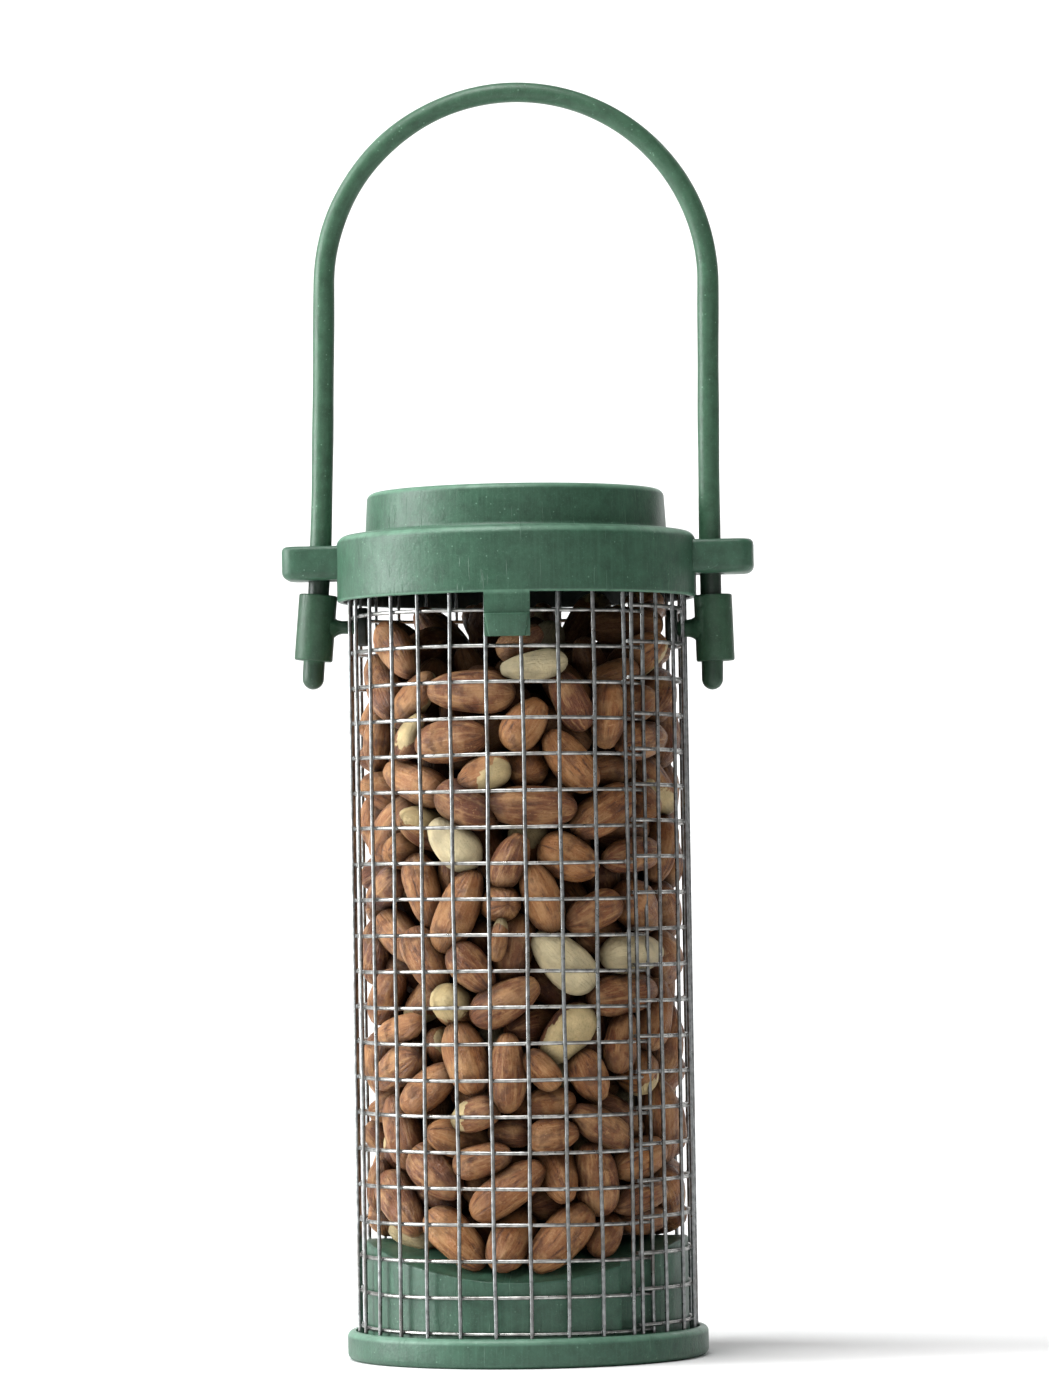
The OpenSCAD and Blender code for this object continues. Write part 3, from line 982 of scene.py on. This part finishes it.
def build_lines():
    parts = []
    tail = LINES_HIGH.z - HOOPS_HIGH.z
    for k in range(LINE_COUNT):
        high = min(hoop_z(HOOP_COUNT - 1, line_angle(k)) + tail, LINES_HIGH.z)
        points = []
        for z in np.linspace(LINES_LOW.z, high, LINE_POINTS):
            angle = line_angle(k) + line_offset(k, z)
            points.append(around(angle, LINE_R - tuck_at(line_angle(k)), z))
        parts.append(wire_along(points))
    build_wires("line_wires", parts, "mesh_line_wires", SHADED_LINE_ZINC)


def build_welds():
    """A small flattened nugget where each hoop crosses each upright wire."""
    ball = bmesh.new()
    bmesh.ops.create_icosphere(ball, subdivisions=1, radius=1.0)
    shape = [v.co.copy() for v in ball.verts]
    shape_faces = [tuple(v.index for v in f.verts) for f in ball.faces]
    ball.free()
    parts = []
    for k in range(HOOP_COUNT):
        for n in range(LINE_COUNT):
            angle = line_angle(n)
            z = hoop_z(k, angle)
            angle += line_offset(n, z)
            centre = around(angle, (HOOP_R + LINE_R) / 2 - tuck_at(line_angle(n)), z)
            turn = Matrix.Rotation(math.radians(angle), 3, "Z")
            size = 1.0 + 0.2 * math.sin(k * 3.7 + n * 2.3)
            points = [
                centre + turn @ Vector((v.x * 0.52 * size, v.y * 0.34, v.z * 0.5 * size))
                for v in shape
            ]
            parts.append((points, shape_faces))
    build_wires("weld_nuggets", parts, None, SHADED_LINE_ZINC)


# ---------------- peanuts

# Kernels against the front of the mesh, as the viewer meets them: across, height, tilt in
# degrees, length, thickness, share of skin lost and depth behind the mesh.
FRONT_KERNELS = [
    (-21.6, 126.6, -60, 10.5, 6.5, 0, 0),
    (-24.4, 120.2, -62, 12.5, 7.5, 0, 0),
    (-19.3, 117.6, 53, 11.0, 6.0, 0.6, 1),
    (-20.3, 111.0, 60, 8.5, 5.5, 0.3, 1.5),
    (-8.3, 118.8, -3, 16.3, 8.0, 0, 0),
    (-12.1, 110.2, 8, 12.5, 8.0, 0, 0),
    (2.9, 123.0, 8, 12.0, 5.5, 1, 0.5),
    (0.4, 127.3, 30, 9.0, 6.0, 0, 2.0),
    (1, 112.7, 53, 10.5, 7.5, 0, 0),
    (9.2, 116.8, -64, 11.5, 6.8, 0, 0),
    (15.8, 114.3, 84, 12.0, 6.6, 0, 0),
    (18.6, 121.4, 20, 9.0, 6.0, 0, 2.5),
    (9.0, 106.1, -52, 13.0, 7.6, 0, 0),
    (16.8, 105.0, 10, 10.0, 6.5, 0, 2.0),
    (-6.2, 104.0, 20, 9.5, 6.8, 0.35, 0),
    (-18.3, 102.9, -25, 12.5, 7.2, 0, 0),
    (-25.2, 110.4, 80, 10.5, 5.5, 0, 0),
    (1.9, 98.3, -3, 16.5, 7.6, 0, 0),
    (14.9, 97.2, 35, 12.5, 8.0, 0, 0.5),
    (-22.3, 94.6, 60, 12.5, 8.0, 0, 0),
    (-11.6, 91.9, -45, 11.0, 7.6, 0.9, 0),
    (-17.3, 83.9, -76, 13.5, 6.8, 0, 0),
    (-24.6, 84.1, 40, 8.5, 6.2, 0, 0.5),
    (-11.3, 80.0, 66, 15.8, 8.0, 0, 0),
    (-21.6, 75.5, -50, 10.5, 7.2, 0, 0),
    (-26.2, 71.4, 70, 8.5, 5.2, 0, 0),
    (-1.9, 88.6, 64, 10.5, 6.4, 0, 0),
    (8.3, 89.2, -25, 11.0, 8.4, 0, 0),
    (2.0, 82.3, 45, 10.0, 6.8, 0, 1.5),
    (12.9, 79.5, 25, 10.5, 7.2, 0, 0.5),
    (19.5, 89.5, 10, 9.5, 6.6, 0, 0),
    (7.3, 70.9, -45, 14.0, 8.6, 1, 0),
    (19.5, 72.0, 3, 11.5, 7.6, 1, 0),
    (-4.4, 75.0, 80, 8.0, 3.4, 0.4, 2.0),
    (-3.3, 64.1, 28, 13.5, 7.6, 0, 0),
    (-16.4, 64.5, 40, 10.8, 7.5, 0.4, 0),
    (-24.4, 64.9, 60, 10.0, 6.6, 0, 0),
    (-9.4, 70.0, -50, 10.5, 7.4, 0, 1),
    (-22.2, 59.0, 25, 8.0, 5.4, 0, 0.5),
    (-22.3, 52.3, 30, 10.8, 7.8, 0, 0),
    (-10.3, 54.1, -74, 13.5, 8.0, 0, 0),
    (-16.9, 48.8, 40, 11.5, 6.8, 0, 0),
    (-3.0, 51.4, 88, 14.2, 6.8, 0, 0),
    (7.6, 58.0, 48, 12.5, 8.0, 0.7, 0),
    (3.2, 52.0, -50, 8.5, 5.8, 0, 0.5),
    (11.3, 50.8, -65, 9.8, 7.0, 0, 0),
    (17.2, 56.4, 80, 11.0, 6.8, 0, 0),
    (15.4, 43.2, -30, 11.8, 8.0, 0, 0),
    (4.9, 46.0, 5, 8.5, 6.2, 0, 1),
    (4.9, 40.4, 10, 9.0, 6.6, 0, 0),
    (-21.6, 40.9, -76, 13.5, 7.2, 0, 0),
    (-13.8, 41.0, 20, 9.0, 6.4, 0, 1),
    (-8.7, 44.3, 20, 8.8, 6.2, 0.35, 0.5),
    (-2.7, 40.8, 0, 8.0, 5.6, 0, 1.5),
    (-7.8, 36.1, 15, 10.5, 6.4, 0, 0.5),
    (-3.3, 30.9, 35, 15.5, 8.0, 0, 0),
    (-12.4, 22.2, -45, 13.5, 8.0, 0, 0),
    (6.0, 22.2, 46, 15.0, 8.0, 0, 0),
    (14.7, 22.4, 60, 8.0, 6.0, 0, 1.5),
    (-22.2, 28.2, -60, 11.5, 7.6, 0, 0),
    (-27.0, 31.0, 74, 9.5, 5.0, 0, 0),
    (-20.4, 22.0, -10, 8.5, 5.4, 0.5, 0.5),
    (-16.5, 29.9, -30, 8.5, 6.4, 0, 2.0),
    (20.3, 29.0, 20, 9.0, 6.6, 0, 0.5),
    (21.6, 24.8, 0, 7.5, 5.6, 0, 1),
]
KERNEL_SEED = 11
FILL_COUNT = 372
FILL_LOW = 20.0
# The heap's top, at the front of the tube and at its back
HEAP_FRONT_Z = 124.0
HEAP_BACK_Z = 138.5
INSIDE_R = HOOP_R - WIRE_R - 0.15
# A kernel that has lost this share of its skin counts as blanched
BLANCHED = 0.85
TINY = 1e-9
# How settle() works: its rounds, the kernels' share of full size at first, the share of the
# rounds in which they grow, their snugness, the share of a push that is made, and the sinking
ROUNDS = 220
FIRST_SIZE = 0.6
GROWING = 0.55
SNUG = 0.97
EASE = 0.55
SINK = 0.02
SINKING = 0.7


def heap_z(y):
    """Height of the heap's top, which rises from the front to the middle."""
    return HEAP_FRONT_Z + (HEAP_BACK_Z - HEAP_FRONT_Z) * np.clip((y + 14) / 16, 0, 1)


def front_kernel(x, z, tilt, length, thick):
    """Centre, axis and length of a kernel lying against the mesh, turned to follow its curve."""
    reach = min(abs(x), INSIDE_R - thick / 2 - 0.5)
    x = math.copysign(reach, x)
    y = -math.sqrt((INSIDE_R - thick / 2) ** 2 - x * x)
    around_angle = math.atan2(x, -y)
    seen = Vector((math.cos(math.radians(tilt)), 0, math.sin(math.radians(tilt))))
    tangent = Vector((math.cos(around_angle), math.sin(around_angle), 0))
    widened = min(length * abs(seen.x) / max(math.cos(around_angle), 0.45), 15.5)
    axis = tangent * math.copysign(widened, seen.x) + Vector((0, 0, length * seen.z))
    full = max(min(axis.length, 17.0), length)
    return Vector((x, y, z)), axis.normalized(), full


def starting_kernels(rng):
    """Centres, axes, lengths and thicknesses: the front ones as listed, then a loose fill."""
    turn = Matrix.Rotation(math.radians(VIEW_ANGLE), 3, "Z")
    rows = []
    for x, z, tilt, length, thick, bare, depth in FRONT_KERNELS:
        centre, axis, full = front_kernel(x, z, tilt, length, thick)
        inward = Vector((-centre.x, -centre.y, 0)).normalized()
        rows.append((turn @ (centre + inward * depth), turn @ axis, full, thick, bare))
    for _ in range(FILL_COUNT):
        radius = 26.5 * rng.random() ** 0.4
        angle = rng.random() * 360
        top = heap_z(around(angle, radius, 0).y) - 4
        height = FILL_LOW + (top - FILL_LOW) * rng.random()
        axis = Vector(rng.normal(size=3)).normalized()
        bare = 1.0 if rng.random() < 0.03 else (0.35 if rng.random() < 0.12 else 0.0)
        length, thick = 12.5 + 3.5 * rng.random(), 7.0 + 1.4 * rng.random()
        rows.append((around(angle, radius, height), axis, length, thick, bare))
    return rows


def chains(middles, axes, reach):
    """The centres of the three balls that stand for each kernel."""
    shifts = reach[:, None] * np.array([-1, 0, 1])
    return middles[:, None, :] + axes[:, None, :] * shifts[..., None]


def settle(rows):
    """Pushes overlapping kernels apart inside the tube, each as a chain of three balls."""
    pinned = len(FRONT_KERNELS)
    radius = np.repeat([row[3] / 2 for row in rows], 3)
    reach = np.array([(row[2] - row[3]) / 2 for row in rows])
    axis = np.array([row[1] for row in rows])
    balls = chains(np.array([row[0] for row in rows]), axis, reach)
    home = balls[:pinned].mean(1)
    owner = np.repeat(np.arange(len(rows)), 3)
    same = owner[:, None] == owner[None, :]
    held = owner < pinned
    # How much of each overlap a ball gives way: a held one less, and two held ones alike
    share = np.where(held[:, None], 0.12, 0.5) * np.where(held[None, :], 1.6, 1.0)
    share = np.where(held[:, None] & held[None, :], 0.45, share)
    for step in range(ROUNDS):
        grown = min(1.0, FIRST_SIZE + (1 - FIRST_SIZE) * step / (ROUNDS * GROWING))
        size = radius * grown * SNUG
        flat = balls.reshape(-1, 3)
        gap = flat[:, None, :] - flat[None, :, :]
        distance = np.sqrt((gap**2).sum(-1)) + TINY
        depth = size[:, None] + size[None, :] - distance
        depth[same] = 0
        push = (gap / distance[..., None]) * (np.maximum(depth, 0) * share)[..., None]
        flat = flat + push.sum(1) * EASE
        if step < ROUNDS * SINKING:
            flat[~held, 2] -= SINK
        out = np.hypot(flat[:, 0], flat[:, 1]) + TINY
        over = np.maximum(out - (INSIDE_R - size), 0) / out
        flat[:, :2] -= flat[:, :2] * over[:, None]
        floor = RIDGE_Z - VAULT_R + np.sqrt(VAULT_R**2 - np.clip(flat[:, 1], -PLUG_R, PLUG_R) ** 2)
        flat[:, 2] = np.maximum(flat[:, 2], floor + size)
        flat[:, 2] = np.where(held, flat[:, 2], np.minimum(flat[:, 2], heap_z(flat[:, 1]) - size))
        near_disc = (np.abs(flat[:, 1]) < DISC_R + size) & (flat[:, 2] + size > DISC_LOW.z - 1)
        limit = np.where(near_disc, DISC_LOW.x - 0.3 - size, INSIDE_R)
        flat[:, 0] = np.clip(flat[:, 0], -limit, limit)
        balls = flat.reshape(-1, 3, 3)
        middle = balls.mean(1)
        along = balls[:, 2] - balls[:, 0]
        along /= np.linalg.norm(along, axis=1)[:, None] + TINY
        along[:pinned] = axis[:pinned]
        middle[:pinned] = home_pull(middle[:pinned], home)
        balls = chains(middle, along, reach)
    return balls.mean(1), along


def home_pull(middle, home):
    """Draws a front kernel back across and up to its place, but not out of the depth it found."""
    look = np.array([math.sin(math.radians(VIEW_ANGLE)), -math.cos(math.radians(VIEW_ANGLE)), 0])
    away = home - middle
    away -= (away @ look)[:, None] * look[None, :]
    return middle + away * 0.5


def kernel_mesh(length, thick, bare, rng):
    """One kernel along X: an egg with a small beak, a soft split line and fine wrinkles."""
    rings, sides = 17, 22
    u = -np.cos(np.linspace(0.09, math.pi - 0.09, rings))
    phi = np.linspace(0, 2 * math.pi, sides, endpoint=False)
    taper = 0.03 + 0.12 * rng.random()
    body = np.power(np.clip(1 - np.abs(u) ** 2.6, 0, 1), 0.5) * (1 + taper * u)
    beak = 0.10 * np.exp(-(((u + 0.93) / 0.07) ** 2))
    radius = (body + beak * 0.5) * thick / 2 / (1 + taper * 0.25)
    flatten = 0.90 + 0.08 * rng.random()
    grid_u, grid_phi = np.meshgrid(u, phi, indexing="ij")
    shape = np.repeat(radius[:, None], sides, axis=1)
    fade = np.clip(1 - grid_u**4, 0, 1)
    ripple = np.zeros_like(grid_u)
    strength = 0.030 if bare < 0.7 else 0.010
    for wave in range(5, 13):
        phase, twist = rng.random(2) * 2 * math.pi
        ripple += np.sin(grid_phi * wave + phase + grid_u * (twist - math.pi) * 0.6)
    lumps = np.sin(grid_phi * 2 + rng.random() * 6) * np.sin(grid_u * 3 + rng.random() * 6)
    split = np.exp(-((np.sin(grid_phi) / 0.16) ** 2))
    shape = shape + fade * (strength * ripple * 0.7 + 0.14 * lumps)
    shape -= fade * split * (0.20 if bare < 0.7 else 0.30)
    bend = 0.35 * (rng.random() - 0.3)
    x = grid_u * length / 2 + beak[:, None] * -1.2
    y = shape * np.cos(grid_phi)
    z = shape * np.sin(grid_phi) * flatten + bend * (grid_u**2 - 0.4)
    points = np.stack([x, y, z], -1)
    along = (grid_u + 1) / 2
    across = np.abs(((grid_phi / math.pi) % 2) - 1)
    edge = rng.random() * 2 * math.pi
    cover = grid_u * math.cos(edge) + np.cos(grid_phi - edge) * math.sin(edge) * 0.8
    if bare >= BLANCHED:
        bare_map = np.ones_like(grid_u)
    else:
        bare_map = np.clip(0.5 + 2.0 * (cover - 1 + 1.6 * bare), 0, 1) * (bare > 0)
    return points, along, across, bare_map


def build_kernels():
    rng = np.random.default_rng(KERNEL_SEED)
    rows = starting_kernels(rng)
    middles, axes = settle(rows)
    reach = np.array([(row[2] - row[3]) / 2 for row in rows])
    places = chains(middles, axes, reach).reshape(-1, 3)
    sizes = np.repeat([row[3] / 2 for row in rows], 3)
    balls = (places, sizes, np.repeat(middles, 3, axis=0))
    for group, material, slot in (
        ("skinned", SKIN, "peanut_skin"),
        ("blanched", KERNEL, "peanut_kernel"),
    ):
        blanched = group == "blanched"
        kernels = [k for k in zip(rows, middles, axes) if (k[0][4] >= BLANCHED) == blanched]
        build_kernel_group(group, kernels, balls, material, slot, rng)


def open_space(points, middle, balls):
    """For each point of a kernel, 0 where another kernel touches it and 1 well away from any."""
    places, sizes, owners = balls
    near = np.linalg.norm(owners - middle, axis=1)
    others = (near > 0.01) & (near < 24)
    away = np.linalg.norm(points[:, None, :] - places[others][None, :, :], axis=2)
    nearest = (away - sizes[others][None, :]).min(1)
    return np.clip((nearest + 0.5) / 2.6, 0, 1)


def build_kernel_group(group, kernels, balls, material, slot, rng):
    vertices, faces = [], []
    fields = {"along": [], "across": [], "bare": [], "tone": [], "gap": []}
    for row, middle, axis in kernels:
        points, along, across, bare_map = kernel_mesh(row[2], row[3], row[4], rng)
        across_axis = Vector(axis).orthogonal().normalized()
        spin = Matrix.Rotation(rng.random() * 2 * math.pi, 3, Vector(axis))
        second = spin @ across_axis
        third = Vector(axis).cross(second)
        flip = 1 if rng.random() < 0.5 else -1
        turn = np.array([np.array(axis) * flip, second, third * flip])
        placed = points.reshape(-1, 3) @ turn + middle
        fields["gap"].extend(open_space(placed, middle, balls))
        faces += stack_faces(*along.shape, len(vertices))
        vertices.extend(map(tuple, placed))
        fields["along"].extend(along.ravel())
        fields["across"].extend(across.ravel())
        fields["bare"].extend(bare_map.ravel())
        fields["tone"].extend([rng.random()] * along.size)
    name, node = f"{group}_kernels", f"{group}_peanuts"
    piece = new_piece(name, vertices, faces, "tube", node, slot, material, SMOOTH_ALL)
    for field, values in fields.items():
        attribute = piece.data.attributes.new(field, "FLOAT", "POINT")
        attribute.data.foreach_set("value", np.array(values, np.float32))


# ---------------- stage, light and camera


def stage_material():
    shader = Shader("pale_backdrop")
    tone = shader.noise(3.0, 2.0)
    shader.set("Base Color", shader.mix(tone, (0.80, 0.80, 0.80), (0.84, 0.84, 0.84)))
    shader.set("Roughness", 0.9)
    return shader.material


def build_stage():
    """A pale floor that curves up into a backdrop far behind."""
    width, front, back, bend, top = 3.0, -3.0, 2.2, 0.8, 3.0
    outline = [(front, 0.0), (back - bend, 0.0)]
    for step in range(1, 17):
        a = math.radians(90 * step / 16)
        outline.append((back - bend + bend * math.sin(a), bend - bend * math.cos(a)))
    outline.append((back, top))
    vertices = [(x, y, z) for y, z in outline for x in (-width, width)]
    faces = [(2 * i, 2 * i + 1, 2 * i + 3, 2 * i + 2) for i in range(len(outline) - 1)]
    mesh = bpy.data.meshes.new("backdrop")
    mesh.from_pydata(vertices, [], faces)
    mesh.shade_smooth()
    mesh.materials.append(stage_material())
    backdrop = bpy.data.objects.new("backdrop", mesh)
    bpy.context.scene.collection.objects.link(backdrop)


def add_light(name, place, target, size, power, tint=(1.0, 1.0, 1.0)):
    data = bpy.data.lights.new(name, "AREA")
    data.shape = "RECTANGLE"
    data.size, data.size_y = size
    data.energy = power
    data.color = tint
    light = bpy.data.objects.new(name, data)
    light.location = place
    aim = Vector(target) - Vector(place)
    light.rotation_mode = "QUATERNION"
    light.rotation_quaternion = aim.to_track_quat("-Z", "Y")
    bpy.context.scene.collection.objects.link(light)


def build_lights():
    """A broad light from the left, a softer one from above and a backdrop lit on its own."""
    middle = (0, 0, 0.12)
    add_light("key_left", (-1.35, -0.12, 0.5), middle, (0.8, 1.3), 40.0, (0.97, 1.0, 1.0))
    add_light("top_soft", (-0.3, -0.35, 1.35), middle, (0.7, 0.7), 19.0)
    add_light("front_fill", (0.3, -1.6, 0.5), middle, (1.0, 1.0), 2.0)
    for side in SIGN:
        place = (SIGN[side] * 1.1, 1.2, 1.2)
        add_light(f"backdrop_{side}", place, (SIGN[side] * 0.4, 2.2, 0.3), (0.8, 0.8), 16.0)
    world = bpy.data.worlds.new("studio")
    world.use_nodes = True
    background = world.node_tree.nodes["Background"]
    background.inputs["Color"].default_value = (1.0, 1.0, 1.0, 1.0)
    background.inputs["Strength"].default_value = 0.18
    bpy.context.scene.world = world


def build_camera():
    """Level with the lower half of the mesh, looking slightly up, about 1.1 m away."""
    distance, height = 1.1, 0.08195
    data = bpy.data.cameras.new("camera")
    data.sensor_width = 36.0
    data.lens = 156.9857
    camera = bpy.data.objects.new("camera", data)
    bpy.context.scene.collection.objects.link(camera)
    a = math.radians(VIEW_ANGLE)
    back = Vector((math.sin(a), -math.cos(a), 0))
    camera.location = back * distance + Vector((0, 0, height))
    pitch, yaw, roll = math.radians(1.870), math.radians(-0.057), math.radians(0.9)
    camera.rotation_mode = "QUATERNION"
    look = Matrix.Rotation(a, 4, "Z") @ Matrix.Rotation(yaw, 4, "Z")
    look = look @ Matrix.Rotation(math.radians(90) + pitch, 4, "X") @ Matrix.Rotation(-roll, 4, "Z")
    camera.rotation_quaternion = look.to_quaternion()
    bpy.context.scene.camera = camera


build_base()
build_lid()
build_bail()
for side in ("left", "right"):
    build_lug(side)
    build_retainer(side)
build_hoops()
build_lines()
build_welds()
build_kernels()
build_stage()
build_lights()
build_camera()
scene = bpy.context.scene
scene.view_settings.view_transform = "Standard"
